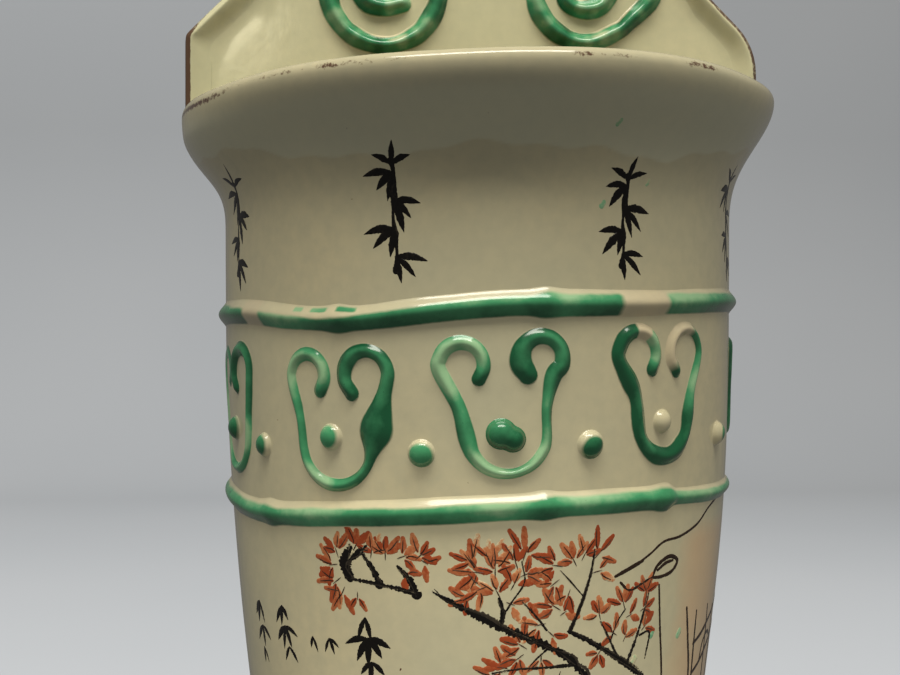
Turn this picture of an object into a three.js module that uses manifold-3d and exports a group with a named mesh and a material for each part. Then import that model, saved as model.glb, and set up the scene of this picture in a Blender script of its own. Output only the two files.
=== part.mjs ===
// Wall-hung brush holder pot: a half-round porcelain pot with a flat back plate that rises above the mouth as a
// crest, decorated with laid-on coils and beads of clay. Millimetres, +Z up, the front faces -Y.
// The origin is at the middle of the object's bounding box, on the plane that it rests on.
import * as THREE from 'three';
import { mergeVertices } from 'three/addons/utils/BufferGeometryUtils.js';
import Module from 'manifold-3d';

// ---- driving dimensions ----
const mouthRadius = 65;
const waistRadius = 55.6;
const lipHeight = 178;
const crestHeight = 240;
const wallThickness = 4.5;
const plateThickness = 6;
const baseThickness = 5.5;
const gap = 0.3; // air left between neighbouring pieces
const lipRadius = wallThickness / 2;

// The half-round front is centred on the front face of the back plate.
const totalDepth = mouthRadius + plateThickness;
const backY = totalDepth / 2;
const axisY = backY - plateThickness;

// ---- outline of the wall, seen from the front ----
const lipCentreZ = lipHeight - lipRadius; // the mouth is at its widest here
const flareStart = 150; // above this height the mouth flares out
const taperStart = 132; // below this height the wall curves in
const taperEnd = 65; // below this height the wall is a straight cone
const taperCurve = 0.00086; // inward curve, in mm per mm squared

function wallRadius(z) {
  if (z > flareStart) {
    const up = Math.min(1, (z - flareStart) / (lipCentreZ - flareStart));
    const flare = (1 - Math.cos(Math.PI * up ** 1.5)) / 2;
    return waistRadius + (mouthRadius - waistRadius) * flare;
  }
  if (z > taperStart) return waistRadius;
  const curved = taperStart - Math.max(z, taperEnd);
  const straight = Math.max(0, taperEnd - z);
  return waistRadius - taperCurve * curved ** 2 - 2 * taperCurve * curved * straight;
}

function spread(from, to, count) {
  return Array.from({ length: count + 1 }, (_, i) => from + ((to - from) * i) / count);
}

// Heights at which the wall's outline is drawn, from the foot up to a given top.
function wallHeights(top) {
  return [0, ...spread(taperEnd, taperStart, 4), ...spread(flareStart, top, 8)];
}

// ---- solids by manifold ----
const wasm = await Module();
wasm.setup();

function solidOf(geometry) {
  const bare = geometry.clone();
  bare.deleteAttribute('normal');
  bare.deleteAttribute('uv');
  const merged = mergeVertices(bare, 1e-4);
  return new wasm.Manifold(new wasm.Mesh({
    numProp: 3,
    vertProperties: Float32Array.from(merged.attributes.position.array),
    triVerts: Uint32Array.from(merged.index.array),
  }));
}

function geometryOf(solid) {
  const mesh = solid.getMesh();
  const geometry = new THREE.BufferGeometry();
  geometry.setAttribute('position', new THREE.BufferAttribute(Float32Array.from(mesh.vertProperties), 3));
  geometry.setIndex(Array.from(mesh.triVerts));
  return geometry;
}

// A closed profile of [radius, height] points turned round the pot's axis, with only its front half kept.
const roundSteps = 64;
function frontHalfTurned(profile) {
  const points = profile.map(([radius, z]) => new THREE.Vector2(radius, z));
  const turned = new THREE.LatheGeometry(points, roundSteps).rotateX(Math.PI / 2).translate(0, axisY, 0);
  const reach = 3 * mouthRadius;
  const front = new THREE.BoxGeometry(reach, reach, 2 * crestHeight + reach);
  front.translate(0, axisY - gap - reach / 2, 0);
  return geometryOf(solidOf(turned).intersect(solidOf(front)));
}

// ---- the pot ----
function frontShell() {
  const outer = wallHeights(lipCentreZ).map((z) => [wallRadius(z), z]);
  const lipCentre = mouthRadius - lipRadius;
  const lip = spread(0, Math.PI, 6).slice(1, -1)
    .map((turn) => [lipCentre + lipRadius * Math.cos(turn), lipCentreZ + lipRadius * Math.sin(turn)]);
  const inner = outer.map(([radius, z]) => [radius - wallThickness, z]).reverse();
  return frontHalfTurned([...outer, ...lip, ...inner, outer[0]]);
}

function baseSlab() {
  const inset = wallThickness + gap;
  return frontHalfTurned([
    [0, 0],
    [wallRadius(0) - inset, 0],
    [wallRadius(baseThickness) - inset, baseThickness],
    [0, baseThickness],
  ]);
}

// ---- the crest ----
const chamferCornerZ = 194.5; // where the upright edge would meet the 45 degree shoulder
const leftCornerRadius = 2;
const rightCornerRadius = 15.5; // the crest was cut by hand: its right shoulder is rounder
const shoulderEndX = 50.5;
const domeFootX = 48;
const domeFootZ = 212.5;
const hangingHole = { x: 0, z: 226.5, radius: 3.6 };

// The crest's outline from the right lip end, over the top, to the left one, drawn inset from the cut edge.
function crestOutline(inset) {
  const halfWidth = mouthRadius - inset;
  const chamferInset = inset * Math.tan(Math.PI / 8);
  const cornerZ = chamferCornerZ - chamferInset;
  const rise = crestHeight - domeFootZ;
  const domeRadius = (domeFootX ** 2 + rise ** 2) / (2 * rise);
  const domeCentreZ = crestHeight - domeRadius;
  const insetDome = domeRadius - inset;
  const domeStart = Math.asin((domeFootZ - domeCentreZ - chamferInset) / insetDome);
  const shoulderEndZ = cornerZ + halfWidth - shoulderEndX;
  const path = new THREE.Path();
  const corner = (side, radius) => {
    const tangent = radius * Math.tan(Math.PI / 8);
    const centre = side * (halfWidth - radius);
    return { tangent, centre, z: cornerZ - tangent, radius };
  };
  const right = corner(1, Math.max(1, rightCornerRadius - inset));
  const left = corner(-1, Math.max(1, leftCornerRadius - inset));
  path.moveTo(halfWidth, lipHeight);
  path.lineTo(halfWidth, right.z);
  path.absarc(right.centre, right.z, right.radius, 0, Math.PI / 4, false);
  path.lineTo(shoulderEndX, shoulderEndZ);
  path.absarc(0, domeCentreZ, insetDome, domeStart, Math.PI - domeStart, false);
  path.lineTo(-shoulderEndX, shoulderEndZ);
  path.absarc(left.centre, left.z, left.radius, (3 * Math.PI) / 4, Math.PI, false);
  path.lineTo(-halfWidth, lipHeight);
  return path;
}

function backPlate() {
  const side = wallHeights(lipCentreZ).map((z) => new THREE.Vector2(wallRadius(z), z));
  const mirrored = side.map((point) => new THREE.Vector2(-point.x, point.y)).reverse();
  const top = crestOutline(0).getPoints(10).filter((point) => point.y > lipHeight + 1);
  const shape = new THREE.Shape([...side, ...top, ...mirrored]);
  const hole = new THREE.Path();
  hole.absarc(hangingHole.x, hangingHole.z, hangingHole.radius, 0, 2 * Math.PI, true);
  shape.holes.push(hole);
  const slab = new THREE.ExtrudeGeometry(shape, { depth: plateThickness, bevelEnabled: false, curveSegments: 8 });
  slab.rotateX(Math.PI / 2).translate(0, backY, 0);
  return geometryOf(solidOf(slab));
}

// ---- laid-on coils ----
// Places on the front wall and on the front face of the plate: across, height and distance out of the surface.
const onWall = (angle) => (across, z, out) => {
  const radius = wallRadius(z);
  const turn = angle + across / radius;
  return new THREE.Vector3((radius + out) * Math.sin(turn), axisY - (radius + out) * Math.cos(turn), z);
};
const onPlate = (across, z, out) => new THREE.Vector3(across, axisY - out, z);

// A coil of domed section laid along a curve of (across, height) points, with rounded ends.
const sectionSteps = 5;
function laidCoil(curve, steps, halfWidth, rise, place) {
  const length = curve.getLength();
  const positions = [];
  const faces = [];
  const ringSize = sectionSteps + 1;
  const addPoint = (at, side, out) => {
    const centre = curve.getPointAt(at);
    const along = curve.getTangentAt(at);
    const point = place(centre.x - along.y * side, centre.y + along.x * side, gap + out);
    positions.push(point.x, point.y, point.z);
  };
  spread(0, 1, steps).forEach((at, ring) => {
    const fromEnd = Math.min(at, 1 - at) * length;
    const short = Math.max(0, 1 - fromEnd / halfWidth(at));
    const rounding = Math.max(0.3, Math.sqrt(1 - short ** 2));
    spread(0, Math.PI, sectionSteps).forEach((turn, i) => {
      const side = halfWidth(at) * rounding * Math.cos(turn);
      addPoint(at, side, rise(at) * rounding * Math.sin(turn));
      if (ring === steps) return;
      const a = ring * ringSize + i;
      const b = ring * ringSize + ((i + 1) % ringSize);
      faces.push(a, b, a + ringSize, b, b + ringSize, a + ringSize);
    });
  });
  for (let i = 1; i < sectionSteps; i += 1) {
    const last = steps * ringSize;
    faces.push(0, i + 1, i, last, last + i, last + i + 1);
  }
  const geometry = new THREE.BufferGeometry();
  geometry.setAttribute('position', new THREE.Float32BufferAttribute(positions, 3));
  geometry.setIndex(faces);
  const solid = solidOf(geometry);
  return geometryOf(solid);
}

const curveThrough = (points) => new THREE.CatmullRomCurve3(points.map(([a, b]) => new THREE.Vector3(a, b, 0)));

// Points round an arc from one angle to another, in degrees anticlockwise from the right.
function arcPoints(centreX, centreZ, radius, from, to, count) {
  return spread(from, to, count).map((turn) => {
    const radians = THREE.MathUtils.degToRad(turn);
    return [centreX + radius * Math.cos(radians), centreZ + radius * Math.sin(radians)];
  });
}

// The two bamboo-like bands. They were laid by hand, so they wander in height and swell at their nodes.
// Each is given by its height at a few evenly spaced angles, from its left end to its right end.
const bandHalfWidth = 2;
const bandRise = 1.5;
const bandEndAngle = 88.5;
const nodeSwelling = 0.2; // how much thicker a band is at a node
const nodeHalfLength = 3; // in degrees
const bands = {
  upper_band: { heights: [132.2, 132.5, 131.3, 133.6, 133.9, 135, 135.2], nodes: [-35.5, 7] },
  lower_band: { heights: [94.6, 92.9, 94.6, 96.4, 96.8, 95.8, 96.2], nodes: [-54, 7, 34.8] },
};

function band({ heights, nodes }) {
  const radius = wallRadius(heights[3]);
  const angleAt = (part) => bandEndAngle * (2 * part - 1);
  const across = (angle) => radius * THREE.MathUtils.degToRad(angle);
  const curve = curveThrough(heights.map((z, i) => [across(angleAt(i / (heights.length - 1))), z]));
  const swelling = (part) => nodes
    .reduce((sum, node) => sum + nodeSwelling * Math.exp(-(((angleAt(part) - node) / nodeHalfLength) ** 2)), 1);
  return laidCoil(curve, 48, (at) => bandHalfWidth * swelling(at), (at) => bandRise * swelling(at), onWall(0));
}

// One ruyi-like scroll: a bowl with two arms that end in hooks turned inward. Each was laid by hand, so they differ.
// A hook or a bowl is the centre and radius of its arc, from the scroll's own centre; waist is how far the arms are
// from the centre between the two, fat is the thickest place along the coil, from 0 to 1, and rightFrom is the turn in
// degrees at which the right hook's arc begins.
const scrollHalfWidth = 1.4;
const fatSwelling = 0.35;
const fatHalfLength = 0.08; // as a part of the coil's length
const scrollRise = 1;
const scrolls = [
  {
    angle: -71, z: 113.2, fat: 0.25, rightFrom: -15,
    leftHook: [-7.4, 7.4, 3.8], rightHook: [4.9, 7.4, 4.6], waist: [-8.6, 8.8], bowl: [0.6, -5.2, 7.5],
  },
  {
    angle: -34.6, z: 112.5, fat: 0.67, rightFrom: -20,
    leftHook: [-6.8, 7.6, 4.2], rightHook: [6.5, 8, 4.5], waist: [-8.7, 8.6], bowl: [-0.2, -5.1, 7.7],
  },
  {
    angle: -1.7, z: 114.8, fat: 0.97, rightFrom: -58,
    leftHook: [-7.2, 7.6, 4.1], rightHook: [7.6, 8.9, 4], waist: [-7.7, 8.6], bowl: [1.3, -4.8, 7.4],
  },
  {
    angle: 34.1, z: 116.8, fat: 0.6, rightFrom: -20,
    leftHook: [-7, 7.4, 4.5], rightHook: [6.2, 7.8, 4.6], waist: [-7.8, 8.2], bowl: [0.3, -5.1, 7],
  },
  {
    angle: 81, z: 116.6, fat: 0.3, rightFrom: -15,
    leftHook: [-3.8, 7.6, 2.1], rightHook: [3.8, 7.6, 2.1], waist: [-4.2, 4.2], bowl: [0, -6, 3.8],
  },
];

function scroll({ angle, z, fat, rightFrom, leftHook, rightHook, waist, bowl }) {
  const arc = ([x, above, radius], from, to) => arcPoints(x, z + above, radius, from, to, 6);
  const curve = curveThrough([
    ...arc(leftHook, -38, 195),
    [waist[0], z],
    ...arc(bowl, 190, 350),
    [waist[1], z],
    ...arc(rightHook, rightFrom, 225),
  ]);
  const fatter = (at) => 1 + fatSwelling * Math.exp(-(((at - fat) / fatHalfLength) ** 2));
  const halfWidth = (at) => scrollHalfWidth * fatter(at);
  const place = onWall(THREE.MathUtils.degToRad(angle));
  return laidCoil(curve, 48, halfWidth, (at) => scrollRise * fatter(at), place);
}

// A spiral coil on the crest, given as marks of turn in degrees and radius, from its inner end outward.
// The hand is 1 when it opens anticlockwise and -1 when it opens clockwise.
const spiralHalfWidth = 1.8;
const spiralRise = 2;
const spirals = {
  crest_spiral_left: {
    x: -21, z: 205.6, hand: -1,
    marks: [[217, 5.2], [270, 3.9], [330, 4.7], [390, 7], [450, 9.6], [510, 11.8], [550, 12.4], [590, 12.5],
      [630, 12.6], [670, 12.5], [710, 12.4], [750, 12.2]],
  },
  crest_spiral_right: {
    x: 24.9, z: 206.2, hand: 1,
    marks: [[150, 5.6], [210, 4.9], [270, 4.2], [330, 5], [390, 7], [450, 9.2], [510, 11], [550, 11.6], [590, 11.5],
      [630, 11.8], [670, 11.6], [688, 12.2], [710, 14.6], [724, 16]],
  },
};

function crestSpiral({ x, z, hand, marks }) {
  const points = marks.map(([turn, radius]) => {
    const radians = THREE.MathUtils.degToRad(turn);
    return [x + hand * radius * Math.cos(radians), z + radius * Math.sin(radians)];
  });
  return laidCoil(curveThrough(points), 64, () => spiralHalfWidth, () => spiralRise, onPlate);
}

// The rounded coil along the crest's edge, from just above one end of the lip to the other.
const borderInset = 2.6;
const borderHalfWidth = 1.9;
const borderRise = 1.6;
const borderFootZ = 183;

function crestBorder() {
  const outline = crestOutline(borderInset).getSpacedPoints(44).map((point) => [point.x, point.y]);
  const above = outline.filter(([, z]) => z > borderFootZ);
  return laidCoil(curveThrough(above), 64, () => borderHalfWidth, () => borderRise, onPlate);
}

// ---- beads ----
const beadSides = 12;

function bead({ angle, z, radius }) {
  const rise = radius * beadFlatness;
  const dome = spread(0, Math.PI / 2, 4)
    .map((turn) => new THREE.Vector2(radius * Math.cos(turn), rise * Math.sin(turn)));
  dome[dome.length - 1].x = 0;
  const geometry = new THREE.LatheGeometry([new THREE.Vector2(0, 0), ...dome], beadSides);
  const radians = THREE.MathUtils.degToRad(angle);
  const foot = onWall(radians)(0, z, gap);
  return geometry.rotateX(Math.PI / 2).rotateX(Math.PI / 2).rotateZ(radians).translate(foot.x, foot.y, foot.z);
}

const beadFlatness = 0.7; // a bead's rise over its radius
const scrollBeads = [
  { angle: -71, z: 108.7, radius: 2.4 },
  { angle: -35.8, z: 108.7, radius: 2.4 },
  { angle: -0.7, z: 109.5, radius: 3.2 },
  { angle: 33.5, z: 111.4, radius: 2.2 },
  { angle: 81, z: 111.5, radius: 1.8 },
];
const spacerBeads = [
  { angle: -55.6, z: 106.2, radius: 2.3 },
  { angle: -16.8, z: 106.3, radius: 2.4 },
  { angle: 16.2, z: 107.7, radius: 2.5 },
  { angle: 56.6, z: 107.9, radius: 2.4 },
];

// ---- the object ----
const group = new THREE.Group();

function addPiece(name, geometry, color, roughness) {
  const material = new THREE.MeshStandardMaterial({ color, roughness, metalness: 0 });
  const mesh = new THREE.Mesh(geometry, material);
  mesh.name = name;
  group.add(mesh);
}

const bodyGlaze = 0xc9c2a4;
const crestGlaze = 0xc8c39c;
const greenGlaze = 0x2b7a52;
const gloss = 0.15;

addPiece('front_shell', frontShell(), bodyGlaze, gloss);
addPiece('back_plate', backPlate(), crestGlaze, gloss);
addPiece('base_slab', baseSlab(), bodyGlaze, gloss);
addPiece('crest_border', crestBorder(), crestGlaze, gloss);
Object.entries(spirals).forEach(([name, shape]) => addPiece(name, crestSpiral(shape), greenGlaze, gloss));
Object.entries(bands).forEach(([name, shape]) => addPiece(name, band(shape), greenGlaze, gloss));
scrolls.forEach((shape, i) => addPiece(`scroll_${i + 1}`, scroll(shape), greenGlaze, gloss));
scrollBeads.forEach((shape, i) => addPiece(`scroll_bead_${i + 1}`, bead(shape), greenGlaze, gloss));
spacerBeads.forEach((shape, i) => addPiece(`spacer_bead_${i + 1}`, bead(shape), greenGlaze, gloss));

export default group;
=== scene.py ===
import math

import bpy
import numpy as np
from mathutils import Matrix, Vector


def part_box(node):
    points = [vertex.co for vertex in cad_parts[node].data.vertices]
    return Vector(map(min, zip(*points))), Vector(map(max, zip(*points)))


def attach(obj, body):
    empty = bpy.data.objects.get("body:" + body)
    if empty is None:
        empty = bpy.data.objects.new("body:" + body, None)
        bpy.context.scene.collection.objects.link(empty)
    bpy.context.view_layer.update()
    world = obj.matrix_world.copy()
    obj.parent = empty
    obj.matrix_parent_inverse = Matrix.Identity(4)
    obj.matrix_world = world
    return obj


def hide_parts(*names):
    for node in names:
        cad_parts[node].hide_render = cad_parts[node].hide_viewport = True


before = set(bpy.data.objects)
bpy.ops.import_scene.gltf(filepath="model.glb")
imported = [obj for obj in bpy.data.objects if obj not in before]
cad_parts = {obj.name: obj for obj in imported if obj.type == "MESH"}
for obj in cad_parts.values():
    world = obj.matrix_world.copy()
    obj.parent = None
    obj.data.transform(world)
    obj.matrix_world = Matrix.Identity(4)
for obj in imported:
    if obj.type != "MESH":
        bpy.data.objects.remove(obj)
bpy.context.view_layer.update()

MM = 0.001

# ---- sizes taken from the frame ----
shell_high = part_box("front_shell")[1]
plate_low, plate_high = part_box("back_plate")
slab_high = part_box("base_slab")[1]
AXIS_Y = plate_low.y  # the half-round wall is centred on the plate's front face
BACK_Y = plate_high.y
LIP_Z = shell_high.z
CREST_Z = plate_high.z
MOUTH_RADIUS = plate_high.x


def smoothstep(low, high, value):
    """0 up to low and 1 from high on, with a soft climb between them. low may be the larger one."""
    part = np.clip((value - low) / (high - low), 0, 1)
    return part * part * (3 - 2 * part)


def smooth_maximum(first, second, blend):
    """The higher of two values, rounded over where they are within blend of each other."""
    return np.maximum(first, second) + np.clip(blend - np.abs(first - second), 0, None) ** 2 / (4 * blend)


# ---- the wall's outline, as in the CAD ----
WALL = 4.5 * MM
LIP_RADIUS = WALL / 2
LIP_CENTRE_Z = LIP_Z - LIP_RADIUS
WAIST_RADIUS = 55.6 * MM
FLARE_START = 150 * MM
TAPER_START = 132 * MM
TAPER_END = 65 * MM
TAPER_CURVE = 0.86  # per metre


def wall_radius(z):
    """The even wall: a taper, a straight waist and a flared mouth."""
    z = np.minimum(z, LIP_CENTRE_Z)
    up = np.clip((z - FLARE_START) / (LIP_CENTRE_Z - FLARE_START), 0, 1)
    flare = (1 - np.cos(np.pi * up**1.5)) / 2
    curved = np.clip(TAPER_START - z, 0, TAPER_START - TAPER_END)
    straight = np.clip(TAPER_END - z, 0, None)
    taper = TAPER_CURVE * curved * (curved + 2 * straight)
    return WAIST_RADIUS + (MOUTH_RADIUS - WAIST_RADIUS) * flare - taper


def hand_wobble(angle, z):
    """The slight unevenness of a hand-built wall."""
    slow = np.sin(3.1 * angle + 40 * z) + np.sin(5.3 * angle - 75 * z + 1)
    quick = np.sin(9.7 * angle + 130 * z + 2)
    return 0.07 * MM * (slow + 0.5 * quick) * smoothstep(LIP_Z, LIP_Z - 14 * MM, z)


def left_fullness(angle, z):
    """The flare comes out lower down at its left end, where the wall was pressed against the plate."""
    high = np.exp(-(((z - 166.5 * MM) / (7 * MM)) ** 2)) * smoothstep(LIP_Z - 1 * MM, LIP_Z - 8 * MM, z)
    return 1.9 * MM * high * smoothstep(math.radians(-40), math.radians(-80), angle)


def outer_radius(angle, z):
    """The wall with its hand-made unevenness."""
    return wall_radius(z) + hand_wobble(angle, z) + left_fullness(angle, z)


def lip_wave(angle):
    """The lip's slight rise and fall: it drops to its left end and climbs to its right one."""
    left = smoothstep(math.radians(-20), math.radians(-62), angle)
    right = 1.2 * smoothstep(math.radians(-12), math.radians(26), angle)
    right_end = 0.5 * smoothstep(math.radians(45), math.radians(75), angle)
    ripple = 0.15 * (np.sin(4.2 * angle + 0.4) + 0.6 * np.sin(9 * angle + 2))
    return (ripple + right + right_end - 1.5 * left) * MM


def lip_lift(angle, z):
    """How far the flare is carried up or down with the lip."""
    return lip_wave(angle) * smoothstep(FLARE_START, LIP_Z, z)


def on_wall(angle, z, out=0.0):
    """Points on the front wall: angle in radians from the front, height, and distance out of the surface."""
    radius = outer_radius(angle, z - lip_lift(angle, z)) + out
    return np.stack([radius * np.sin(angle), AXIS_Y - radius * np.cos(angle), z + 0 * angle], -1)


# ---- the crest's outline, as in the CAD ----
CHAMFER_SUM = 259.5 * MM  # across plus height along the 45 degree shoulders
DOME_FOOT_X = 48 * MM
DOME_FOOT_Z = 212.5 * MM
DOME_RISE = CREST_Z - DOME_FOOT_Z
DOME_RADIUS = (DOME_FOOT_X**2 + DOME_RISE**2) / (2 * DOME_RISE)
DOME_CENTRE_Z = CREST_Z - DOME_RADIUS
SHOULDER_END_X = 50.5 * MM
LEFT_CORNER = 2 * MM
RIGHT_CORNER = 15.5 * MM
HOLE_Z = 226.5 * MM
HOLE_RADIUS = 3.6 * MM
DISH_DEPTH = 0.6 * MM


def plate_fullness(x, z):
    """The plate's left edge follows the fuller flare in front of it."""
    return np.where(x < 0, left_fullness(-math.pi / 2, z), 0.0)


def crest_inset(x, z):
    """How far a point of the plate is inside its cut edge."""
    side = wall_radius(z) + plate_fullness(x, z) - np.abs(x)
    shoulder = (CHAMFER_SUM - np.abs(x) - z) / math.sqrt(2)
    dome = DOME_RADIUS - np.hypot(x, z - DOME_CENTRE_Z)
    inner = smoothstep(SHOULDER_END_X, DOME_FOOT_X - 2 * MM, np.abs(x))
    crest = dome * inner + shoulder * (1 - inner)
    return np.where(z > LIP_Z - 4 * MM, -smooth_maximum(-side, -crest, 5 * MM), side)


def on_plate(x, z, out=0.0):
    """Points on the plate's front face, which is slightly dished inside the crest's edge."""
    inside = smoothstep(0.5 * MM, 7.5 * MM, crest_inset(x, z)) * smoothstep(LIP_Z - 30 * MM, LIP_Z, z)
    dish = DISH_DEPTH * inside
    ripple = 0.05 * MM * np.sin(70 * x + 2) * np.sin(90 * z)
    return np.stack([x + 0 * z, AXIS_Y + dish + ripple - out, z + 0 * x], -1)


# ---- mesh helpers ----
def make_object(name, points, faces, material, values, node=None):
    """A smooth mesh object from points, faces and named values at each point. It rides on the pot, has the
    given material and stands for a CAD node, which it hides, where one is given."""
    mesh = bpy.data.meshes.new(name)
    mesh.from_pydata([tuple(p) for p in points], [], [tuple(f) for f in faces])
    for key, array in values.items():
        layer = mesh.attributes.new(key, "FLOAT", "POINT")
        layer.data.foreach_set("value", np.asarray(array, np.float32).ravel())
    mesh.polygons.foreach_set("use_smooth", [True] * len(mesh.polygons))
    mesh.update()
    made = bpy.data.objects.new(name, mesh)
    bpy.context.scene.collection.objects.link(made)
    mesh.materials.append(material)
    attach(made, "root")
    if node:
        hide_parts(node)
    return made


def grid_faces(rows, columns, wrap=False):
    """Quads of a grid of points stored row by row; wrap joins the last column to the first."""
    faces = []
    for row in range(rows - 1):
        for column in range(columns if wrap else columns - 1):
            a = row * columns + column
            b = row * columns + (column + 1) % columns
            faces.append((a, b, b + columns, a + columns))
    return faces


def ringed_faces(rows, columns):
    """Faces of a closed form whose rows are rings, with the first and the last ring filled in."""
    first_ring = tuple(reversed(range(columns)))
    last_ring = tuple(range((rows - 1) * columns, rows * columns))
    return [*grid_faces(rows, columns, wrap=True), first_ring, last_ring]


def section_faces(rows, columns, flip=False):
    """Faces of a closed form whose columns are sections: the last row joins the first, and both ends are
    filled in. flip turns every face over."""
    last = (rows - 1) * columns
    joined = [(last + c, last + c + 1, c + 1, c) for c in range(columns - 1)]
    first_end = tuple(reversed(range(0, rows * columns, columns)))
    last_end = tuple(range(columns - 1, rows * columns, columns))
    faces = [*grid_faces(rows, columns), *joined, first_end, last_end]
    return [face[::-1] for face in faces] if flip else faces


def smooth_path(points, step):
    """Evenly spaced points on a smooth curve through the given ones."""
    points = np.asarray(points, float)
    padded = np.vstack([2 * points[0] - points[1], points, 2 * points[-1] - points[-2]])
    pieces = []
    for p0, p1, p2, p3 in zip(padded, padded[1:], padded[2:], padded[3:]):
        t = np.linspace(0, 1, 24, endpoint=False)[:, None]
        pieces.append(0.5 * (2 * p1 + (p2 - p0) * t + (2 * p0 - 5 * p1 + 4 * p2 - p3) * t**2
                             + (3 * p1 - p0 - 3 * p2 + p3) * t**3))
    dense = np.vstack([*pieces, points[-1:]])
    along = np.concatenate([[0], np.cumsum(np.linalg.norm(np.diff(dense, axis=0), axis=1))])
    count = max(4, int(round(along[-1] / step)) + 1)
    even = np.linspace(0, along[-1], count)
    return np.stack([np.interp(even, along, dense[:, i]) for i in (0, 1)], -1)


def arc(centre, radius, start, end, count=7):
    """Points round an arc, in degrees anticlockwise from the right."""
    turn = np.radians(np.linspace(start, end, count))
    return [(centre[0] + radius * math.cos(t), centre[1] + radius * math.sin(t)) for t in turn]


# ---- sections of what is laid on a surface ----
def coil_height(s):
    """A low round coil that the glaze blends softly into the surface; s is 1 at the coil's edge."""
    bell = (0.5 + 0.5 * np.cos(np.pi * np.clip(np.abs(s) / COIL_REACH, 0, 1))) ** 0.8
    return UNDER + (1 - UNDER) * bell


def bead_dome(s):
    """A rounder dome than a coil's, 1 high at s = 0 and level with the surface at s = 1."""
    return np.sqrt(np.clip(1 - s**2, 0, None)) ** 1.2 - 2.5 * np.clip(s - 1, 0, None)


COIL_REACH = 1.5
UNDER = -0.05  # how far a coil's skirt ends below the surface, as a share of its rise


def stroke_height(s):
    """The lens of a painted stroke, its rim just under the surface."""
    return 1.3 * (1 - s**2) - 0.3


def sweep(path, half_width, rise, place, height, reach, columns):
    """A closed strip along a path of (across, height) points, reach half widths wide to each side, with round
    ends. height gives its section, from the distance to the path. Returns points and faces, and at each point
    s, how far across it is, t, how far along, and the distance; s and distance are in half widths."""
    tangent = np.gradient(path, axis=0)
    tangent /= np.linalg.norm(tangent, axis=1)[:, None]
    cap = reach * np.sin(np.linspace(1, 0, 7)[:-1] * np.pi / 2 * 0.97)
    ends = [(0, -e) for e in cap] + [(i, 0.0) for i in range(len(path))] + [(-1, e) for e in cap[::-1]]
    index = np.array([i for i, _ in ends])
    beyond = np.array([e for _, e in ends])
    centre = path[index] + tangent[index] * (beyond * half_width[index])[:, None]
    span = np.sqrt(np.clip(reach**2 - beyond**2, 1e-4, None))
    s = np.linspace(-1, 1, columns)[None, :] * span[:, None]
    across = centre[:, None, 0] - tangent[index][:, None, 1] * s * half_width[index][:, None]
    up = centre[:, None, 1] + tangent[index][:, None, 0] * s * half_width[index][:, None]
    reached = np.hypot(s, beyond[:, None])
    points = place(across, up, rise[index][:, None] * height(reached))
    t = np.repeat((index % len(path)) / (len(path) - 1), columns)
    return points.reshape(-1, 3), ringed_faces(len(index), columns), s.ravel(), t, reached.ravel()


def wave(t, seed, quick=6):
    """A smooth wandering value between about -1 and 1."""
    phases = np.random.default_rng(seed).uniform(0, 6.28, 3)
    return (np.sin(quick * t + phases[0]) + 0.6 * np.sin(2.3 * quick * t + phases[1])
            + 0.4 * np.sin(5.1 * quick * t + phases[2])) / 2


def bump(t, at, width):
    """A soft bump, 1 high at a place."""
    return np.exp(-(((t - at) / width) ** 2))


# ---- materials ----
def add_node(tree, kind, values=None, **settings):
    """A shader node with its input values, which may be sockets, and its settings."""
    node = tree.nodes.new("ShaderNode" + kind)
    for key, value in settings.items():
        setattr(node, key, value)
    for key, value in (values or {}).items():
        if isinstance(value, bpy.types.NodeSocket):
            tree.links.new(value, node.inputs[key])
        else:
            node.inputs[key].default_value = value
    return node


def new_material(name):
    """An empty node material and its tree."""
    material = bpy.data.materials.new(name)
    material.use_nodes = True
    material.node_tree.nodes.clear()
    return material, material.node_tree


def position(tree):
    return add_node(tree, "TexCoord").outputs["Object"]


def noise(tree, scale, detail=3.0, roughness=0.5):
    """Noise between about 0 and 1, the same for every piece at the same place."""
    values = {"Vector": position(tree), "Scale": scale, "Detail": detail, "Roughness": roughness}
    return add_node(tree, "TexNoise", values).outputs["Fac"]


def unevenness(tree, scale, detail, amount, roughness=0.5):
    """Noise between about plus and minus half the amount."""
    return calculate(tree, "MULTIPLY_ADD", noise(tree, scale, detail, roughness), amount, -0.5 * amount)


def ramp(tree, source, *stops):
    """Maps 0 to 1 onto colours at the given places."""
    node = add_node(tree, "ValToRGB", {"Fac": source})
    while len(node.color_ramp.elements) < len(stops):
        node.color_ramp.elements.new(0.5)
    for element, (at, colour) in zip(node.color_ramp.elements, stops):
        element.position = at
        element.color = (*colour, 1) if isinstance(colour, tuple) else (colour, colour, colour, 1)
    return node.outputs["Color"]


def mix_colour(tree, factor, first, second):
    """A mix of two colours, which may be sockets."""
    node = add_node(tree, "Mix", data_type="RGBA")
    for key, value in (("Factor", factor), ("A", first), ("B", second)):
        kind = "VALUE" if key == "Factor" else "RGBA"
        socket = next(i for i in node.inputs if i.name == key and i.type == kind)
        if isinstance(value, bpy.types.NodeSocket):
            tree.links.new(value, socket)
        else:
            socket.default_value = (*value, 1) if isinstance(value, tuple) else value
    return next(o for o in node.outputs if o.type == "RGBA")


def calculate(tree, operation, first, second=0.5, third=0.5, clamp=False):
    """A sum with values or sockets."""
    node = add_node(tree, "Math", operation=operation, use_clamp=clamp)
    for socket, value in zip(node.inputs, (first, second, third)):
        if isinstance(value, bpy.types.NodeSocket):
            tree.links.new(value, socket)
        else:
            socket.default_value = value
    return node.outputs[0]


def attribute(tree, name):
    """A named value of the mesh, as given to make_object."""
    return add_node(tree, "Attribute", attribute_name=name).outputs["Fac"]


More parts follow.
